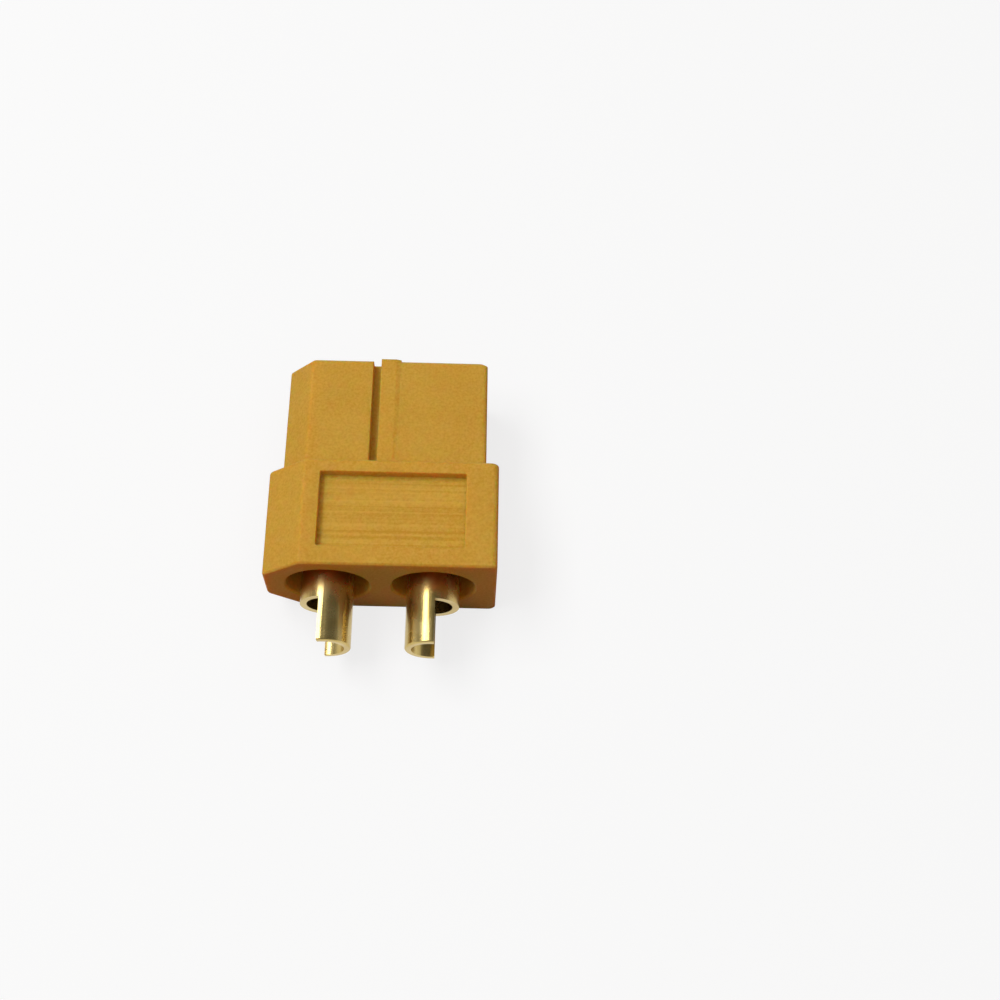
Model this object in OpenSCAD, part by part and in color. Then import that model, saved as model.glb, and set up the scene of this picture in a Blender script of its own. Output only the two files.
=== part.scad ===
// Two-pole battery connector, socket half: a moulded nylon housing with a
// grip collar and a keyed nose, and two turned contacts that end in solder cups.
// X runs from the keyed side to the square side, +Y is the mating direction
// and +Z is up. The housing lies on the flat underside of its collar.

/* [Collar] */
// Width across the collar, from the keyed side to the square side
collar_width = 15.8; // [15:0.1:18]
// Height of the collar
collar_height = 8.1; // [7.7:0.1:10]
// Length of the collar along the mating direction
collar_length = 7.7; // [6.8:0.1:10]
// How far the key slopes of the collar reach in across the width
collar_key_run = 2.6; // [1.5:0.1:3]
// How far the key slopes of the collar reach down its side
collar_key_drop = 2.3; // [1.5:0.1:3]
// Radius of the collar's long edges on the square side
collar_edge_radius = 0.4; // [0.2:0.05:0.6]
// Rounding of the collar's edges at the step to the nose
step_rounding = 0.3; // [0.1:0.05:0.5]
// Bevel round the solder end of the collar
solder_end_bevel = 0.12; // [0.05:0.01:0.3]
// Radius of the ridges that border the key slopes
ridge_radius = 0.4; // [0.1:0.05:0.6]

/* [Nose] */
// Width across the nose at its mating end
nose_width = 14; // [13.4:0.1:14.6]
// Height of the nose at its mating end
nose_height = 6.6; // [6.2:0.1:7.3]
// Length of the nose beyond the collar
nose_length = 8.1; // [7:0.1:10]
// How far the key slopes of the nose reach in across the width
nose_key_run = 1.7; // [1:0.1:2.2]
// How far the key slopes of the nose reach down its side
nose_key_drop = 1.9; // [1:0.1:2.4]
// Radius of the nose's long edges on the square side
nose_edge_radius = 0.3; // [0.15:0.05:0.5]
// Lead-in bevel round the mating end of the nose
nose_lead_in = 0.25; // [0.15:0.05:0.5]
// Draft of the nose: how far each side draws in from the collar to the mating end
nose_draft = 0.03; // [0.01:0.01:0.1]

/* [Guide rib] */
// Width of the guide rib along the middle of each broad face of the nose
rib_width = 1.05; // [0.8:0.05:1.5]
// Sideways offset of the rib toward the square side
rib_shift = 0.05; // [0:0.05:0.3]
// How far the guide rib stands above the nose face
rib_rise = 0.12; // [0.04:0.02:0.3]
// Width of the bevel that falls from the rib to the nose face
rib_bevel = 0.35; // [0.15:0.05:0.5]
// Width of the slot along the rib's side that faces the keys
slot_width = 0.55; // [0.3:0.05:0.8]
// Depth of the slot below the nose face
slot_depth = 0.95; // [0.6:0.05:1.2]

/* [Label recess] */
// Width of the recess in each broad face of the collar
recess_width = 9.9; // [8:0.1:11]
// Length of the recess along the mating direction
recess_length = 5.4; // [4:0.1:5.8]
// Depth of the recess
recess_depth = 0.7; // [0.4:0.05:0.8]
// Distance from the solder end to the recess
recess_margin = 1.35; // [0.5:0.05:1.8]
// Sideways offset of the recess toward the square side
recess_shift = 0.75; // [0:0.05:1.2]
// Bevel round the rim of the recess
recess_rim = 0.05; // [0.03:0.01:0.15]
// Spacing of the low steps on the recess floor
step_pitch = 0.72; // [0.6:0.02:1.2]
// Width of each low step
step_width = 0.36; // [0.2:0.02:0.5]
// Height of each low step above the recess floor
step_height = 0.02; // [0.01:0.01:0.1]

/* [Contacts] */
// Distance between the axes of the two contacts
contact_pitch = 7.2; // [6.8:0.1:7.4]
// Bore of the socket, for the mating pin
socket_bore = 3.5; // [3:0.1:3.7]
// Wall of the socket tube
socket_wall = 0.55; // [0.4:0.05:0.65]
// Depth of the socket bore from its mouth
socket_depth = 9; // [7:0.1:10]
// How far the socket mouth lies inside the mating end
socket_inset = 0.3; // [0.1:0.05:0.8]
// Lead-in bevel inside the socket mouth
socket_lead_in = 0.2; // [0.1:0.05:0.3]
// Distance from the solder end to the shoulder that seats each contact
shoulder_distance = 4.6; // [4.2:0.1:5.2]

/* [Solder cups] */
// Bore of the solder cup, for the stripped wire
cup_bore = 2.7; // [2.2:0.1:2.8]
// Wall of the solder cup
cup_wall = 0.45; // [0.3:0.05:0.5]
// How far the cup reaches out of the solder end
cup_reach = 4.5; // [3.5:0.1:6]
// Length of the unbroken ring of the cup outside the solder end
cup_ring = 1.4; // [0.8:0.1:2.5]
// Depth of the cup bore from its open tip
cup_depth = 7; // [6.2:0.1:7.5]
// How far outward of its axis the cup is cut away
cup_cut_offset = 0.2; // [0:0.05:0.6]
// Bevel on the outer rim of the cup
cup_rim_bevel = 0.08; // [0.04:0.02:0.14]
// How far the keyed side's contact is turned about its axis, in degrees
negative_turn = -6; // [-10:1:10]

/* [Contact cavities] */
// Diameter of the wide pocket round each cup at the solder end
pocket_diameter = 5.7; // [4.8:0.1:6]
// Depth of that pocket
pocket_depth = 3; // [2:0.1:3.8]
// Bevel round the rim of each pocket
pocket_rim = 0.12; // [0.05:0.01:0.3]
// Gap all round between a contact and its cavity
contact_gap = 0.03; // [0.02:0.01:0.06]
// Bevel round each cavity at the mating end
cavity_bevel = 0.25; // [0.1:0.05:0.3]

/* [Hidden] */

// Extra length of a cutter beyond the face that it cuts
over = 0.5;
body_length = collar_length + nose_length;
middle_y = (body_length - cup_reach) / 2;
middle_z = collar_height / 2;

nose_face = nose_height / 2;
rib_left = rib_shift - rib_width / 2;
rib_right = rib_shift + rib_width / 2;

step_count = floor(recess_length / step_pitch);
recess_middle = recess_margin + recess_length / 2;

socket_radius = socket_bore / 2 + socket_wall;
cup_radius = cup_bore / 2 + cup_wall;
socket_mouth = body_length - socket_inset;

housing_colour = "#d9982f";
contact_colour = "#d9b765";

// Fineness of the faceted edge roundings, their turn a step, and of the true round faces
edge_fn = 24;
step_turn = 30;
round_fn = 64;

// The part's origin is under its middle, on the surface that it lies on
module placed() {
    translate([0, -middle_y, middle_z]) children();
}

// Turns a shape that stands on Z so that it lies along +Y
module along_y() {
    rotate([-90, 0, 0]) children();
}

module on_both_faces() {
    children();
    mirror([0, 0, 1]) children();
}

// Corners of a keyed outline as [x, z], with two slopes on the -X side
function keyed_corners(width, height, run, drop) = [
    [width / 2, -height / 2],
    [width / 2, height / 2],
    [run - width / 2, height / 2],
    [-width / 2, height / 2 - drop],
    [-width / 2, drop - height / 2],
    [run - width / 2, -height / 2]
];

function edge_normal(from, to) =
    let (run = to - from) [run.y, -run.x] / norm(run);

// Corner i of an outline, moved in by a distance from both its edges
function inset_corner(corners, i, distance) =
    let (
        count = len(corners),
        before = edge_normal(corners[(i + count - 1) % count], corners[i]),
        after = edge_normal(corners[i], corners[(i + 1) % count])
    )
    corners[i] - distance * (before + after) / (1 + before * after);

// The two corners of the square side come first in a keyed outline
function corner_radius(i, square_radius) = i < 2 ? square_radius : ridge_radius;

// A round post along Y in each corner of an outline that is drawn in by inset
module corner_posts(corners, square_radius, inset, near, far) {
    for (i = [0 : len(corners) - 1])
        let (
            radius = corner_radius(i, square_radius),
            corner = inset_corner(corners, i, radius + inset)
        )
            translate([corner.x, near, corner.y])
                along_y() cylinder(r = radius, h = far - near, $fn = edge_fn);
}

module collar_block() {
    corners = keyed_corners(collar_width, collar_height, collar_key_run, collar_key_drop);
    middle = collar_length / 2;
    hull() {
        corner_posts(corners, collar_edge_radius, solder_end_bevel, 0, middle);
        corner_posts(corners, collar_edge_radius, 0, solder_end_bevel, collar_length - step_rounding);
        for (turn = [step_turn : step_turn : 90])
            corner_posts(
                corners, collar_edge_radius, step_rounding * (1 - cos(turn)),
                middle, collar_length - step_rounding * (1 - sin(turn))
            );
    }
}

// The nose starts inside the collar, so that the two are one moulding
module nose_block() {
    tip = keyed_corners(nose_width, nose_height, nose_key_run, nose_key_drop);
    root_width = nose_width + 2 * nose_draft;
    root_height = nose_height + 2 * nose_draft;
    root = keyed_corners(root_width, root_height, nose_key_run, nose_key_drop);
    start = collar_length / 2;
    hull() {
        corner_posts(root, nose_edge_radius, 0, start, collar_length);
        corner_posts(tip, nose_edge_radius, 0, start, body_length - nose_lead_in);
        corner_posts(tip, nose_edge_radius, nose_lead_in, start, body_length);
    }
}

module guide_slot() {
    translate([rib_left - slot_width, collar_length, nose_face - slot_depth])
        cube([slot_width, nose_length + over, slot_depth + over]);
}

// Cross-section of the rib as [x, z], down to the bottom of the slot
module rib_section() {
    bottom = nose_face - slot_depth;
    polygon([
        [rib_left, bottom],
        [rib_left, nose_face + rib_rise],
        [rib_right, nose_face + rib_rise],
        [rib_right + rib_bevel, nose_face],
        [rib_right + rib_bevel, bottom]
    ]);
}

// The rib starts inside the collar and keeps its full height right up to the mating end
module guide_rib() {
    start = collar_length / 2;
    translate([0, body_length, 0])
        rotate([90, 0, 0]) linear_extrude(height = body_length - start) rib_section();
}

module recess_steps() {
    first = recess_middle - (step_count - 1) * step_pitch / 2;
    for (i = [0 : step_count - 1])
        translate([-recess_width / 2 - over, first + i * step_pitch - step_width / 2, -over])
            cube([recess_width + 2 * over, step_width, over + step_height]);
}

// Cross-section of the recess along one of its sides, with the bevel at its rim
module recess_section(span) {
    rim = span / 2 + recess_rim;
    polygon([
        [-span / 2, 0],
        [span / 2, 0],
        [span / 2, recess_depth - recess_rim],
        [rim, recess_depth],
        [rim, recess_depth + over],
        [-rim, recess_depth + over],
        [-rim, recess_depth],
        [-span / 2, recess_depth - recess_rim]
    ]);
}

// Both cross-sections run across the recess, and what they share is its space
module recess_space() {
    long = recess_width + 2 * over;
    intersection() {
        rotate([90, 0, 0])
            linear_extrude(height = long, center = true) recess_section(recess_width);
        rotate([90, 0, 90])
            linear_extrude(height = long, center = true) recess_section(recess_length);
    }
}

module label_recess() {
    translate([recess_shift, 0, collar_height / 2 - recess_depth])
        difference() {
            translate([0, recess_middle, 0]) recess_space();
            recess_steps();
        }
}

// Pocket, neck and socket cavity of one contact, along its axis from the solder end
module contact_cavity() {
    radius = socket_radius + contact_gap;
    pocket_radius = pocket_diameter / 2;
    along_y() {
        translate([0, 0, -over])
            cylinder(r = pocket_radius, h = pocket_depth + over, $fn = round_fn);
        cylinder(r1 = pocket_radius + pocket_rim, r2 = pocket_radius, h = pocket_rim, $fn = round_fn);
        cylinder(r = cup_radius + contact_gap, h = body_length, $fn = round_fn);
        translate([0, 0, shoulder_distance])
            cylinder(r = radius, h = body_length, $fn = round_fn);
        translate([0, 0, body_length - cavity_bevel])
            cylinder(r1 = radius, r2 = radius + cavity_bevel, h = cavity_bevel, $fn = round_fn);
    }
}

module housing() {
    color(housing_colour) placed() {
        difference() {
            union() {
                difference() {
                    union() {
                        collar_block();
                        nose_block();
                    }
                    on_both_faces() guide_slot();
                }
                on_both_faces() guide_rib();
            }
            on_both_faces() label_recess();
            for (side = [-1, 1])
                translate([side * contact_pitch / 2, 0, 0]) contact_cavity();
        }
    }
}

// Half section of a turned contact as [radius, distance from the solder end]
module contact_section() {
    tip = -cup_reach;
    polygon([
        [0, tip],
        [cup_radius - cup_rim_bevel, tip],
        [cup_radius, tip + cup_rim_bevel],
        [cup_radius, shoulder_distance],
        [socket_radius, shoulder_distance],
        [socket_radius, socket_mouth],
        [0, socket_mouth]
    ]);
}

module contact_bores() {
    radius = socket_bore / 2;
    translate([0, 0, -cup_reach - over])
        cylinder(d = cup_bore, h = cup_depth + over, $fn = round_fn);
    translate([0, 0, socket_mouth - socket_depth])
        cylinder(r = radius, h = socket_depth + over, $fn = round_fn);
    translate([0, 0, socket_mouth - socket_lead_in])
        cylinder(r1 = radius, r2 = radius + socket_lead_in, h = socket_lead_in, $fn = round_fn);
}

// The outward side of the cup is open, so that the wire can be laid in and soldered
module cup_cutaway(side) {
    span = 2 * cup_radius;
    cut_length = cup_reach - cup_ring;
    translate([side * (cup_cut_offset + span / 2), 0, -cup_ring - (cut_length + over) / 2])
        cube([span, 2 * span, cut_length + over], center = true);
}

module contact(side, turn) {
    color(contact_colour) placed()
        translate([side * contact_pitch / 2, 0, 0]) along_y() rotate([0, 0, turn])
            difference() {
                rotate_extrude($fn = round_fn) contact_section();
                contact_bores();
                cup_cutaway(side);
            }
}

module positive_contact() {
    contact(1, 0);
}

module negative_contact() {
    contact(-1, negative_turn);
}

housing();
positive_contact();
negative_contact();
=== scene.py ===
import math

import bmesh
import bpy
from mathutils import Matrix, Vector


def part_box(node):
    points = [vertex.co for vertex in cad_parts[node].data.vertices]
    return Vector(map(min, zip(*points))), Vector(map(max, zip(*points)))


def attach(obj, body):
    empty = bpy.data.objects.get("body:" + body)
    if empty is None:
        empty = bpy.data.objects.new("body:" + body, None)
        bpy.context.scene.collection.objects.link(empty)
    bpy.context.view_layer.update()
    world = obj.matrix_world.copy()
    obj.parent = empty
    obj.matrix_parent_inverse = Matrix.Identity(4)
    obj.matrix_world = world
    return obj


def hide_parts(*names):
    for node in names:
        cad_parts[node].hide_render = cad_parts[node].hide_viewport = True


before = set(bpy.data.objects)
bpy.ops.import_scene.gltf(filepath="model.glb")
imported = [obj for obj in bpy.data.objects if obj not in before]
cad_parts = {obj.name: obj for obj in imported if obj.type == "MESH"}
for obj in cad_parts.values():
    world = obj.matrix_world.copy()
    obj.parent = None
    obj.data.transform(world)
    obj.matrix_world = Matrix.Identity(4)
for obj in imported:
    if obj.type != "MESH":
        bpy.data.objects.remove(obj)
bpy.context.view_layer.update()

MM = 0.001

# Collar, as in the part's source, in millimetres
COLLAR_WIDTH = 15.8
COLLAR_HEIGHT = 8.1
COLLAR_LENGTH = 7.7
COLLAR_KEY_RUN = 2.6
COLLAR_KEY_DROP = 2.3
COLLAR_EDGE_RADIUS = 0.4
STEP_ROUNDING = 0.3
SOLDER_END_BEVEL = 0.12
RIDGE_RADIUS = 0.4

# Nose
NOSE_WIDTH = 14.0
NOSE_HEIGHT = 6.6
NOSE_LENGTH = 8.1
NOSE_KEY_RUN = 1.7
NOSE_KEY_DROP = 1.9
NOSE_EDGE_RADIUS = 0.3
NOSE_LEAD_IN = 0.25
NOSE_DRAFT = 0.03

# Guide rib and the slot beside it
RIB_WIDTH = 1.05
RIB_SHIFT = 0.05
RIB_RISE = 0.12
RIB_BEVEL = 0.35
SLOT_WIDTH = 0.55
SLOT_DEPTH = 0.95

# Recess in each broad face of the collar
RECESS_WIDTH = 9.9
RECESS_LENGTH = 5.4
RECESS_DEPTH = 0.7
RECESS_MARGIN = 1.35
RECESS_SHIFT = 0.75
RECESS_RIM = 0.05
RECESS_CORNER = 0.12
STEP_PITCH = 0.72
STEP_WIDTH = 0.36
STEP_HEIGHT = 0.02
STEP_SLOPE = 0.06

# Contacts and their cavities
CONTACT_PITCH = 7.2
SOCKET_BORE = 3.5
SOCKET_WALL = 0.55
SOCKET_DEPTH = 9.0
SOCKET_INSET = 0.3
SOCKET_LEAD_IN = 0.2
SHOULDER_DISTANCE = 4.6
CUP_BORE = 2.7
CUP_WALL = 0.45
CUP_REACH = 4.5
CUP_RING = 1.4
CUP_DEPTH = 7.0
CUP_CUT_OFFSET = 0.2
CUP_RIM_BEVEL = 0.08
NEGATIVE_TURN = math.radians(-6)
POCKET_DIAMETER = 5.7
POCKET_DEPTH = 3.0
POCKET_RIM = 0.12
CONTACT_GAP = 0.03
CAVITY_BEVEL = 0.25

# Fineness of the pieces
SOFT_EDGE = 0.05
SOFT_STEPS = 3
ARC_STEPS = 6
TURNED_STEPS = 96
OVER = 0.5
SHARP_ANGLE = math.radians(32)
SLIVER = 0.001

# Camera, as fitted to the corners of the object in the photograph
IMAGE_SIDE = 1000
SENSOR_WIDTH = 36.0
FOCAL_PIXELS = 1554
CAMERA_ELEVATION = math.radians(65.92)
CAMERA_AZIMUTH = math.radians(2.41)
CAMERA_ROLL = math.radians(3.54)
CAMERA_DISTANCE = 113.35
AIM_FROM_SOLDER_END = Vector((8.14, 8.49, 0))

# Depths of the fine surface forms: grain, flow marks and tool lines of the nylon, streaks and rings of the brass
GRAIN_DEPTH = 0.003 * MM
FLOW_DEPTH = 0.004 * MM
TOOL_LINE_DEPTH = 0.035 * MM
STREAK_DEPTH = 0.02 * MM
RING_DEPTH = 0.002 * MM

# How much painted shade and light the tool lines put into the nylon's colour, standing in for the shading of
# their low relief
TOOL_LINE_PAINTED_SHADE = 0.9

# Light
AMBIENT = (0.04, 0.03, 0.025)
SKY = 1.15
SKY_POWER = 4
HORIZON = 0.85
ZENITH = 0.12
PALE_BELOW = 0.15
DARK_ABOVE = 0.6
KEY_PLACE = (-0.15, 0.03, 0.31)
KEY_LENGTH = 0.12
KEY_WIDTH = 0.25
KEY_POWER = 0.65
FLOOR_BOUNCE = (0.4, 0.16, 0.08)
FLOOR_WHITE = 0.88
FLOOR_LIFT = 0.78

BODY_LENGTH = COLLAR_LENGTH + NOSE_LENGTH
SOCKET_RADIUS = SOCKET_BORE / 2 + SOCKET_WALL
CUP_RADIUS = CUP_BORE / 2 + CUP_WALL
SOCKET_MOUTH = BODY_LENGTH - SOCKET_INSET
RIB_LEFT = RIB_SHIFT - RIB_WIDTH / 2
RIB_RIGHT = RIB_SHIFT + RIB_WIDTH / 2

# The solder end is the end of the housing that the cups reach out of
SOLDER_END = Vector((0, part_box("housing")[0].y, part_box("housing")[1].z / 2))


def to_frame(x, y, z):
    """Place in the shared frame of a point in mm from the middle of the solder end."""
    return SOLDER_END + Vector((x, y, z)) * MM


# Outlines and profiles

def soften(points, size=SOFT_EDGE, closed=True):
    """Rounds the corners of an outline or profile with short curves."""
    count = len(points)
    softened = []
    for i, corner in enumerate(points):
        if not closed and i in (0, count - 1):
            softened.append(corner)
            continue
        before = points[i - 1] - corner
        after = points[(i + 1) % count] - corner
        reach = min(size, before.length * 0.45, after.length * 0.45)
        start = corner + before.normalized() * reach
        end = corner + after.normalized() * reach
        for step in range(SOFT_STEPS + 1):
            t = step / SOFT_STEPS
            softened.append(start * (1 - t) ** 2 + corner * 2 * t * (1 - t) + end * t ** 2)
    return softened


def keyed_corners(width, height, run, drop):
    """Corners as (x, z) with two key slopes on the -X side, the square side's first."""
    right = width / 2
    top = height / 2
    return [Vector(corner) for corner in (
        (right, -top), (right, top), (run - right, top),
        (-right, top - drop), (-right, drop - top), (run - right, -top),
    )]


def keyed_outline(corners, square_radius, inset):
    """Outline with an arc in each corner, drawn in by inset all round."""
    count = len(corners)
    outline = []
    for i, corner in enumerate(corners):
        radius = square_radius if i < 2 else RIDGE_RADIUS
        along = corner - corners[i - 1]
        onward = corners[(i + 1) % count] - corner
        first = Vector((along.y, -along.x)).normalized()
        last = Vector((onward.y, -onward.x)).normalized()
        centre = corner - (first + last) * (radius + inset) / (1 + first.dot(last))
        start = math.atan2(first.y, first.x)
        turn = first.angle(last)
        for step in range(ARC_STEPS + 1):
            angle = start + turn * step / ARC_STEPS
            outline.append(centre + Vector((math.cos(angle), math.sin(angle))) * radius)
    return outline


# Meshes

def new_piece(name, bm):
    bmesh.ops.recalc_face_normals(bm, faces=bm.faces)
    mesh = bpy.data.meshes.new(name)
    bm.to_mesh(mesh)
    bm.free()
    piece = bpy.data.objects.new(name, mesh)
    bpy.context.scene.collection.objects.link(piece)
    return piece


def loft(name, rings):
    """Closed solid through rings of equally many points, with a flat cap at each end."""
    bm = bmesh.new()
    made = [[bm.verts.new(point) for point in ring] for ring in rings]
    count = len(made[0])
    for low, high in zip(made, made[1:]):
        for i in range(count):
            bm.faces.new((low[i], low[(i + 1) % count], high[(i + 1) % count], high[i]))
    bm.faces.new(made[0])
    bm.faces.new(made[-1])
    return new_piece(name, bm)


def turned(name, profile, x):
    """Closed solid turned about the axis along Y at x; profile runs from axis to axis as (radius, y)."""
    bm = bmesh.new()
    first = bm.verts.new(to_frame(x, profile[0].y, 0))
    last = bm.verts.new(to_frame(x, profile[-1].y, 0))
    rings = []
    for radius, y in profile[1:-1]:
        ring = []
        for step in range(TURNED_STEPS):
            angle = math.tau * step / TURNED_STEPS
            ring.append(bm.verts.new(to_frame(x + radius * math.cos(angle), y, radius * math.sin(angle))))
        rings.append(ring)
    for i in range(TURNED_STEPS):
        after = (i + 1) % TURNED_STEPS
        bm.faces.new((first, rings[0][i], rings[0][after]))
        bm.faces.new((last, rings[-1][after], rings[-1][i]))
        for low, high in zip(rings, rings[1:]):
            bm.faces.new((low[i], low[after], high[after], high[i]))
    return new_piece(name, bm)


def combine(body, other, operation):
    """Joins other to body, or cuts it out of body, and removes other."""
    boolean = body.modifiers.new("combine", "BOOLEAN")
    boolean.operation = operation
    boolean.solver = "EXACT"
    boolean.object = other
    graph = bpy.context.evaluated_depsgraph_get()
    made = bpy.data.meshes.new_from_object(body.evaluated_get(graph))
    body.modifiers.clear()
    body.data = made
    bpy.data.objects.remove(other)


def finish_piece(piece, material, node):
    """Takes slivers out of a finished piece and gives it smooth shading, material and place in the model."""
    mesh = piece.data
    bm = bmesh.new()
    bm.from_mesh(mesh)
    bmesh.ops.dissolve_degenerate(bm, dist=SLIVER * MM, edges=bm.edges)
    bm.to_mesh(mesh)
    bm.free()
    mesh.materials.clear()
    mesh.materials.append(material)
    mesh.shade_smooth()
    mesh.set_sharp_from_angle(angle=SHARP_ANGLE)
    normals = piece.modifiers.new("even shading", "WEIGHTED_NORMAL")
    normals.keep_sharp = True
    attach(piece, "root")
    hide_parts(node)


# Housing

def ring_at(outline, y):
    return [to_frame(point.x, y, point.y) for point in outline]


def keyed_body(name, stations, square_radius):
    """Keyed solid through stations of (corners, inset, y)."""
    return loft(name, [
        ring_at(keyed_outline(corners, square_radius, inset), y) for corners, inset, y in stations
    ])


def end_stations(corners, profile):
    return [(corners, point.x, point.y) for point in profile]


def collar_solid():
    corners = keyed_corners(COLLAR_WIDTH, COLLAR_HEIGHT, COLLAR_KEY_RUN, COLLAR_KEY_DROP)
    near = soften([
        Vector((SOLDER_END_BEVEL + SOFT_EDGE, 0)), Vector((SOLDER_END_BEVEL, 0)),
        Vector((0, SOLDER_END_BEVEL)), Vector((0, SOLDER_END_BEVEL + 2 * SOFT_EDGE)),
    ], closed=False)
    far = []
    for step in range(ARC_STEPS + 1):
        angle = math.pi / 2 * step / ARC_STEPS
        far.append(Vector((
            STEP_ROUNDING * (1 - math.cos(angle)),
            COLLAR_LENGTH - STEP_ROUNDING * (1 - math.sin(angle)),
        )))
    return keyed_body("moulded_housing", end_stations(corners, near + far), COLLAR_EDGE_RADIUS)


def nose_solid():
    tip = keyed_corners(NOSE_WIDTH, NOSE_HEIGHT, NOSE_KEY_RUN, NOSE_KEY_DROP)
    draft = 2 * NOSE_DRAFT
    root = keyed_corners(NOSE_WIDTH + draft, NOSE_HEIGHT + draft, NOSE_KEY_RUN, NOSE_KEY_DROP)
    lead_in = soften([
        Vector((0, BODY_LENGTH - NOSE_LEAD_IN - 2 * SOFT_EDGE)), Vector((0, BODY_LENGTH - NOSE_LEAD_IN)),
        Vector((NOSE_LEAD_IN, BODY_LENGTH)), Vector((NOSE_LEAD_IN + SOFT_EDGE, BODY_LENGTH)),
    ], closed=False)
    stations = [(root, 0, COLLAR_LENGTH / 2), (root, 0, COLLAR_LENGTH)] + end_stations(tip, lead_in)
    return keyed_body("nose", stations, NOSE_EDGE_RADIUS)


def box_solid(name, low, high):
    corners = [(low[0], low[1]), (high[0], low[1]), (high[0], high[1]), (low[0], high[1])]
    return loft(name, [[to_frame(x, y, z) for x, y in corners] for z in (low[2], high[2])])


def prism(name, section, near, far, face):
    """Solid with the cross-section (x, z) from near to far, on the face that is up (1) or down (-1)."""
    return loft(name, [[to_frame(x, y, face * z) for x, z in section] for y in (near, far)])


def guide_rib(face):
    bottom = NOSE_HEIGHT / 2 - SLOT_DEPTH
    rib_face = NOSE_HEIGHT / 2 + RIB_RISE
    foot = RIB_RIGHT + RIB_BEVEL
    section = soften([Vector(corner) for corner in (
        (RIB_LEFT, bottom), (RIB_LEFT, rib_face), (RIB_RIGHT, rib_face), (foot, NOSE_HEIGHT / 2), (foot, bottom),
    )])
    return prism("guide_rib", section, COLLAR_LENGTH / 2, BODY_LENGTH, face)


def guide_slot(face):
    """Cutter of the slot, flared where its far wall meets the nose face."""
    left = RIB_LEFT - SLOT_WIDTH
    bottom = NOSE_HEIGHT / 2 - SLOT_DEPTH
    rings = []
    for y, draft in ((COLLAR_LENGTH, NOSE_DRAFT), (BODY_LENGTH + OVER, 0)):
        face_height = NOSE_HEIGHT / 2 + draft
        above = face_height + OVER
        section = soften([Vector(corner) for corner in (
            (left - SOFT_EDGE - OVER, above), (left - SOFT_EDGE, face_height), (left, face_height - SOFT_EDGE),
            (left, bottom), (RIB_LEFT, bottom), (RIB_LEFT, above),
        )], SOFT_EDGE / 2)
        rings.append([to_frame(x, y, face * z) for x, z in section])
    return loft("guide_slot", rings)


def recess_cutter(face):
    """Rounded rectangle that flares at the rim, with the low steps left standing on its floor."""
    top = COLLAR_HEIGHT / 2
    middle = RECESS_MARGIN + RECESS_LENGTH / 2
    profile = soften([
        Vector((0, top - RECESS_DEPTH)), Vector((0, top - RECESS_RIM)),
        Vector((RECESS_RIM, top)), Vector((RECESS_RIM + OVER, top + OVER)),
    ], closed=False)
    rings = []
    for grow, z in profile:
        across = RECESS_WIDTH / 2 + grow
        along = RECESS_LENGTH / 2 + grow
        corners = [Vector(corner) for corner in (
            (across, -along), (across, along), (-across, along), (-across, -along),
        )]
        outline = soften(corners, RECESS_CORNER + grow)
        rings.append([to_frame(RECESS_SHIFT + x, middle + y, face * z) for x, y in outline])
    cutter = loft("recess", rings)
    combine(cutter, recess_steps(face, middle), "DIFFERENCE")
    return cutter


def recess_steps(face, middle):
    count = math.floor(RECESS_LENGTH / STEP_PITCH)
    floor = COLLAR_HEIGHT / 2 - RECESS_DEPTH
    reach = RECESS_WIDTH / 2 + OVER
    steps = None
    for i in range(count):
        y = middle + (i - (count - 1) / 2) * STEP_PITCH
        half = STEP_WIDTH / 2
        foot = half + STEP_SLOPE
        section = [
            Vector((y - foot, floor - OVER)), Vector((y + foot, floor - OVER)), Vector((y + foot, floor)),
            Vector((y + half, floor + STEP_HEIGHT)), Vector((y - half, floor + STEP_HEIGHT)),
            Vector((y - foot, floor)),
        ]
        step = loft("step", [
            [to_frame(RECESS_SHIFT + x, point.x, face * point.y) for point in section] for x in (-reach, reach)
        ])
        if steps:
            combine(steps, step, "UNION")
        else:
            steps = step
    return steps


def cavity_cutter(side):
    """Pocket, neck and socket cavity, flared where they come out of the housing."""
    pocket = POCKET_DIAMETER / 2
    neck = CUP_RADIUS + CONTACT_GAP
    socket = SOCKET_RADIUS + CONTACT_GAP
    profile = [Vector(point) for point in (
        (0, -OVER), (pocket + POCKET_RIM + OVER, -OVER), (pocket + POCKET_RIM, 0), (pocket, POCKET_RIM),
        (pocket, POCKET_DEPTH), (neck, POCKET_DEPTH), (neck, SHOULDER_DISTANCE), (socket, SHOULDER_DISTANCE),
        (socket, BODY_LENGTH - CAVITY_BEVEL), (socket + CAVITY_BEVEL, BODY_LENGTH),
        (socket + CAVITY_BEVEL + OVER, BODY_LENGTH + OVER), (0, BODY_LENGTH + OVER),
    )]
    return turned("cavity", soften(profile, SOFT_EDGE, closed=False), side * CONTACT_PITCH / 2)


def moulded_housing(material):
    housing = collar_solid()
    combine(housing, nose_solid(), "UNION")
    for face in (1, -1):
        combine(housing, guide_slot(face), "DIFFERENCE")
        combine(housing, guide_rib(face), "UNION")
        combine(housing, recess_cutter(face), "DIFFERENCE")
    for side in (1, -1):
        combine(housing, cavity_cutter(side), "DIFFERENCE")
    finish_piece(housing, material, "housing")


# Contacts

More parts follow.
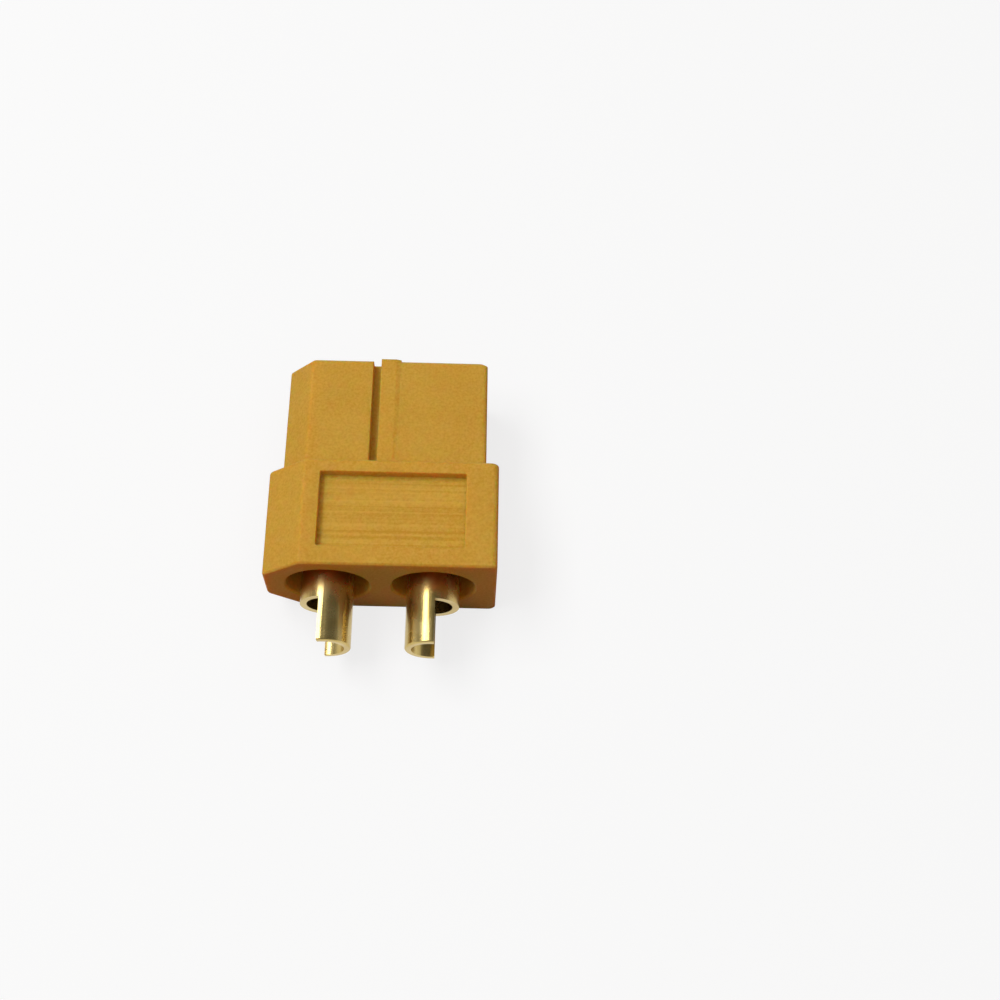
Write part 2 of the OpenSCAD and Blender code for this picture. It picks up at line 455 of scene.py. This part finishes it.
def contact_profile():
    """Half section of a contact as (radius, y), from the floor of its cup to the floor of its socket."""
    tip = -CUP_REACH
    cup_floor = tip + CUP_DEPTH
    socket_floor = SOCKET_MOUTH - SOCKET_DEPTH
    return [Vector(point) for point in (
        (0, cup_floor), (CUP_BORE / 2, cup_floor), (CUP_BORE / 2, tip), (CUP_RADIUS - CUP_RIM_BEVEL, tip),
        (CUP_RADIUS, tip + CUP_RIM_BEVEL), (CUP_RADIUS, SHOULDER_DISTANCE),
        (SOCKET_RADIUS, SHOULDER_DISTANCE), (SOCKET_RADIUS, SOCKET_MOUTH),
        (SOCKET_BORE / 2 + SOCKET_LEAD_IN, SOCKET_MOUTH), (SOCKET_BORE / 2, SOCKET_MOUTH - SOCKET_LEAD_IN),
        (SOCKET_BORE / 2, socket_floor), (0, socket_floor),
    )]


def turned_contact(name, node, side, turn, material):
    contact = turned(name, soften(contact_profile(), SOFT_EDGE * 0.8, closed=False), side * CONTACT_PITCH / 2)
    span = 2 * CUP_RADIUS
    low = min(side * CUP_CUT_OFFSET, side * span)
    high = max(side * CUP_CUT_OFFSET, side * span)
    cutter = box_solid("cutaway", (low, -CUP_REACH - OVER, -span), (high, -CUP_RING, span))
    axis = to_frame(side * CONTACT_PITCH / 2, 0, 0)
    pivot = to_frame(0, 0, 0)
    turning = Matrix.Translation(axis) @ Matrix.Rotation(turn, 4, "Y") @ Matrix.Translation(-pivot)
    cutter.data.transform(turning)
    combine(contact, cutter, "DIFFERENCE")
    finish_piece(contact, material, node)


# Materials

def linear(red, green, blue):
    """Scene colour of a screen colour given from 0 to 255."""
    def channel(value):
        value = value / 255
        return value / 12.92 if value <= 0.04045 else ((value + 0.055) / 1.055) ** 2.4
    return (channel(red), channel(green), channel(blue), 1)


class Shading:
    """Short way to add and link shader nodes in one material or world."""

    def __init__(self, tree):
        self.tree = tree
        tree.nodes.clear()

    def feed(self, socket, value):
        if isinstance(value, bpy.types.NodeSocket):
            self.tree.links.new(value, socket)
        else:
            socket.default_value = value

    def add(self, kind, **inputs):
        node = self.tree.nodes.new(kind)
        for name, value in inputs.items():
            self.feed(node.inputs[name.replace("_", " ")], value)
        return node

    def math(self, operation, *values):
        node = self.tree.nodes.new("ShaderNodeMath")
        node.operation = operation
        for socket, value in zip(node.inputs, values):
            self.feed(socket, value)
        return node.outputs["Value"]

    def ramp(self, fac, low, high, low_colour, high_colour):
        node = self.add("ShaderNodeValToRGB", Fac=fac)
        start, end = node.color_ramp.elements
        start.position, start.color = low, low_colour
        end.position, end.color = high, high_colour
        return node.outputs["Color"]

    def stretch(self, vector, x, y, z):
        """Scales a place by a factor for each axis, so that a noise is drawn out along the smallest."""
        node = self.add("ShaderNodeVectorMath")
        node.operation = "MULTIPLY"
        self.feed(node.inputs[0], vector)
        self.feed(node.inputs[1], (x, y, z))
        return node.outputs["Vector"]

    def noise(self, vector, scale, detail=2.0, roughness=0.5):
        node = self.add("ShaderNodeTexNoise", Vector=vector, Scale=scale, Detail=detail, Roughness=roughness)
        return node.outputs["Fac"]


def new_material(name):
    material = bpy.data.materials.new(name)
    material.use_nodes = True
    return material, Shading(material.node_tree)


def tool_lines(shade, place):
    """Fine lines along X on the recess floors, from the mould's own cutter, about 0, and 0 elsewhere."""
    axes = shade.add("ShaderNodeSeparateXYZ", Vector=place)
    off_middle = shade.math("ABSOLUTE", shade.math("SUBTRACT", axes.outputs["Z"], SOLDER_END.z))
    floor = (COLLAR_HEIGHT / 2 - RECESS_DEPTH) * MM
    at_floor = shade.math("COMPARE", off_middle, floor, 2 * STEP_HEIGHT * MM)
    along = SOLDER_END.y + (RECESS_MARGIN + RECESS_LENGTH / 2) * MM
    in_recess = shade.math("COMPARE", axes.outputs["Y"], along, RECESS_LENGTH / 2 * MM)
    on_floor = shade.math("MULTIPLY", at_floor, in_recess)
    lines = shade.noise(shade.stretch(place, 40, 4200, 40), 1.0, 1)
    return shade.math("MULTIPLY", on_floor, shade.math("SUBTRACT", lines, 0.5))


def nylon_material():
    """Yellow-orange moulded nylon: slightly translucent, satin, with faint flow marks, and tool lines whose
    shading is also painted into the colour as shade and light.
    """
    material, shade = new_material("nylon")
    place = shade.add("ShaderNodeTexCoord").outputs["Object"]
    cloud = shade.noise(place, 260, 3)
    speck = shade.noise(place, 6000, 2)
    grain = shade.noise(place, 9000, 3)
    flow = shade.noise(place, 1100, 4)
    lines = tool_lines(shade, place)
    mottle_and_painted_line_shade = shade.math("MULTIPLY_ADD", speck, 0.75, shade.math("MULTIPLY", cloud, 0.25))
    # Painted shade: the tool lines darken and lighten the colour as the shading of their relief would, on top of
    # their bump.
    mottle_and_painted_line_shade = shade.math("MULTIPLY_ADD", lines, TOOL_LINE_PAINTED_SHADE, mottle_and_painted_line_shade)
    colour = shade.ramp(mottle_and_painted_line_shade, 0.3, 0.7, linear(199, 151, 52), linear(217, 173, 75))
    rough = shade.math("MULTIPLY_ADD", flow, 0.14, 0.46)
    surface = shade.math("MULTIPLY_ADD", grain, GRAIN_DEPTH, shade.math("MULTIPLY", flow, FLOW_DEPTH))
    height = shade.math("MULTIPLY_ADD", lines, TOOL_LINE_DEPTH, surface)
    bump = shade.add("ShaderNodeBump", Height=height, Strength=1.0, Distance=1.0)
    shader = shade.add(
        "ShaderNodeBsdfPrincipled",
        Base_Color=colour,
        Roughness=rough,
        Normal=bump.outputs["Normal"],
        Subsurface_Weight=1.0,
        Subsurface_Radius=(2.0, 0.18, 0.04),
        Subsurface_Scale=0.8 * MM,
        IOR=1.5,
        Specular_IOR_Level=0.05,
    )
    shade.add("ShaderNodeOutputMaterial", Surface=shader.outputs["BSDF"])
    return material


def plated_brass_material():
    """Gold-plated turned brass: fine tool rings, drawn streaks along it, small tarnish and a satin shine."""
    material, shade = new_material("plated_brass")
    place = shade.add("ShaderNodeTexCoord").outputs["Object"]
    facing = shade.add("ShaderNodeSeparateXYZ", Vector=shade.add("ShaderNodeTexCoord").outputs["Normal"])
    side = shade.math("SUBTRACT", 1, shade.math("ABSOLUTE", facing.outputs["Y"]))
    tarnish = shade.noise(place, 700, 4)
    rings = shade.noise(shade.stretch(place, 1, 30000, 1), 1.0, 2)
    streaks = shade.math("MULTIPLY", shade.noise(shade.stretch(place, 3600, 120, 3600), 1.0, 2), side)
    colour = shade.ramp(tarnish, 0.35, 0.7, linear(201, 174, 102), linear(217, 194, 130))
    rough = shade.math("MULTIPLY_ADD", tarnish, 0.2, 0.16)
    height = shade.math("MULTIPLY_ADD", rings, RING_DEPTH, shade.math("MULTIPLY", streaks, STREAK_DEPTH))
    bump = shade.add("ShaderNodeBump", Height=height, Strength=1.0, Distance=1.0)
    shader = shade.add(
        "ShaderNodeBsdfPrincipled",
        Base_Color=colour,
        Metallic=1.0,
        Roughness=rough,
        Normal=bump.outputs["Normal"],
    )
    shade.add("ShaderNodeOutputMaterial", Surface=shader.outputs["BSDF"])
    return material


# Stage

def background_rays(shade):
    """1 for what the camera sees straight, in a mirror or through glass, 0 for light on its way to the object."""
    path = shade.add("ShaderNodeLightPath")
    seen = shade.math("MAXIMUM", path.outputs["Is Camera Ray"], path.outputs["Is Glossy Ray"])
    seen = shade.math("MAXIMUM", seen, path.outputs["Is Transmission Ray"])
    return shade.math("MULTIPLY", seen, shade.math("LESS_THAN", path.outputs["Diffuse Depth"], 1))


def floor_material():
    """Plain white floor that keeps the object's shadow."""
    material, shade = new_material("floor")
    seen = background_rays(shade)
    albedo = [shade.math("MULTIPLY_ADD", seen, FLOOR_WHITE - low, low) for low in FLOOR_BOUNCE]
    colour = shade.add("ShaderNodeCombineColor", Red=albedo[0], Green=albedo[1], Blue=albedo[2]).outputs["Color"]
    matt = shade.add("ShaderNodeBsdfDiffuse", Color=colour).outputs["BSDF"]
    glow = shade.add("ShaderNodeEmission", Color=(1, 1, 1, 1), Strength=1.0).outputs["Emission"]
    mix = shade.tree.nodes.new("ShaderNodeMixShader")
    shade.feed(mix.inputs[0], shade.math("MULTIPLY", seen, FLOOR_LIFT))
    shade.feed(mix.inputs[1], matt)
    shade.feed(mix.inputs[2], glow)
    shade.add("ShaderNodeOutputMaterial", Surface=mix.outputs["Shader"])
    return material


def add_floor():
    bpy.ops.mesh.primitive_plane_add(size=2.0, location=(0, 0, 0))
    floor = bpy.context.object
    floor.name = "floor"
    floor.data.materials.append(floor_material())


def add_world():
    """Pale surroundings, darker overhead, that give the object a low even light."""
    world = bpy.data.worlds.new("studio")
    bpy.context.scene.world = world
    world.use_nodes = True
    shade = Shading(world.node_tree)
    direction = shade.add("ShaderNodeTexCoord").outputs["Generated"]
    height = shade.add("ShaderNodeSeparateXYZ", Vector=direction).outputs["Z"]
    low = (HORIZON, HORIZON, HORIZON, 1)
    high = (ZENITH, ZENITH, ZENITH, 1)
    pale = shade.ramp(shade.math("ABSOLUTE", height), PALE_BELOW, DARK_ABOVE, low, high)
    overhead = shade.math("MULTIPLY", shade.math("POWER", shade.math("MAXIMUM", height, 0), SKY_POWER), SKY)
    soft = [shade.math("ADD", overhead, low) for low in AMBIENT]
    soft_colour = shade.add("ShaderNodeCombineColor", Red=soft[0], Green=soft[1], Blue=soft[2]).outputs["Color"]
    mix = shade.tree.nodes.new("ShaderNodeMix")
    mix.data_type = "RGBA"
    shade.feed(mix.inputs["Factor"], background_rays(shade))
    shade.feed(mix.inputs["A"], soft_colour)
    shade.feed(mix.inputs["B"], pale)
    back = shade.add("ShaderNodeBackground", Color=mix.outputs["Result"], Strength=1.0)
    shade.add("ShaderNodeOutputWorld", Surface=back.outputs["Background"])


def add_softbox(name, place, length, width, power):
    """Long lamp that faces the object, with its length as near along X as that allows."""
    data = bpy.data.lights.new(name, "AREA")
    data.shape = "RECTANGLE"
    data.size = length
    data.size_y = width
    data.energy = power
    back = Vector(place).normalized()
    along = (Vector((1, 0, 0)) - back * back.x).normalized()
    across = back.cross(along)
    lamp = bpy.data.objects.new(name, data)
    turn = Matrix((along, across, back)).transposed()
    lamp.matrix_world = Matrix.Translation(place) @ turn.to_4x4()
    bpy.context.scene.collection.objects.link(lamp)


def add_camera():
    aim = Vector((0, SOLDER_END.y, 0)) + AIM_FROM_SOLDER_END * MM
    level = math.cos(CAMERA_ELEVATION)
    forward = Vector((
        math.sin(CAMERA_AZIMUTH) * level,
        math.cos(CAMERA_AZIMUTH) * level,
        -math.sin(CAMERA_ELEVATION),
    ))
    right = Vector((math.cos(CAMERA_AZIMUTH), -math.sin(CAMERA_AZIMUTH), 0))
    up = right.cross(forward)
    right_rolled = right * math.cos(CAMERA_ROLL) + up * math.sin(CAMERA_ROLL)
    up_rolled = up * math.cos(CAMERA_ROLL) - right * math.sin(CAMERA_ROLL)
    data = bpy.data.cameras.new("camera")
    data.sensor_width = SENSOR_WIDTH
    data.lens = FOCAL_PIXELS / IMAGE_SIDE * SENSOR_WIDTH
    data.clip_start = MM
    camera = bpy.data.objects.new("camera", data)
    turn = Matrix((right_rolled, up_rolled, -forward)).transposed()
    camera.matrix_world = Matrix.Translation(aim - forward * CAMERA_DISTANCE * MM) @ turn.to_4x4()
    bpy.context.scene.collection.objects.link(camera)
    bpy.context.scene.camera = camera


add_camera()
add_world()
add_floor()
add_softbox("key", KEY_PLACE, KEY_LENGTH, KEY_WIDTH, KEY_POWER)

plated_brass = plated_brass_material()
moulded_housing(nylon_material())
turned_contact("turned_positive_contact", "positive_contact", 1, 0, plated_brass)
turned_contact("turned_negative_contact", "negative_contact", -1, NEGATIVE_TURN, plated_brass)

bpy.context.scene.view_settings.view_transform = "Standard"
